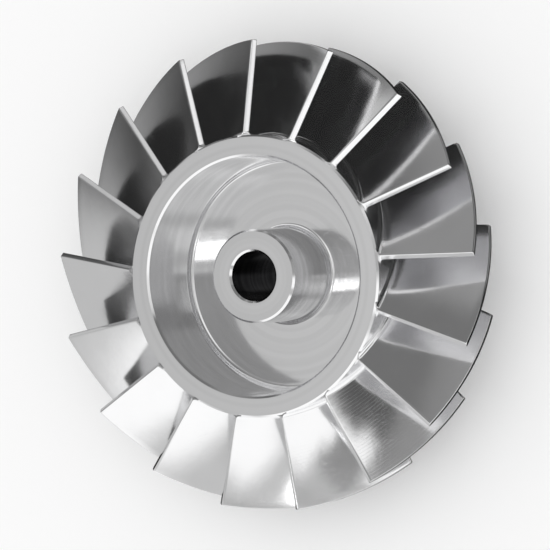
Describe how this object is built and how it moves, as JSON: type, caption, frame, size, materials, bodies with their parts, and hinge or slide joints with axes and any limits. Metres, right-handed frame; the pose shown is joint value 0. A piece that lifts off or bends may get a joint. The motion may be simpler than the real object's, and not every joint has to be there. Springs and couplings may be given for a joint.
{
  "type": "axial impeller",
  "caption": "One-piece polished aluminium axial impeller: cupped drum, bored centre boss and a row of cambered, overlapping blades",
  "frame": {"origin": "on the spin axis, in the flat back face that the wheel lies on", "axes": "+Z along the spin axis, from the closed back towards the open side of the cup; +X runs to the leading tip of one blade"},
  "size_m": [0.12, 0.12, 0.026],
  "materials": {
    "polished_aluminium": "turned and milled, then polished bright"
  },
  "bodies": {
    "root": {"impeller": "polished_aluminium"}
  },
  "joints": []
}
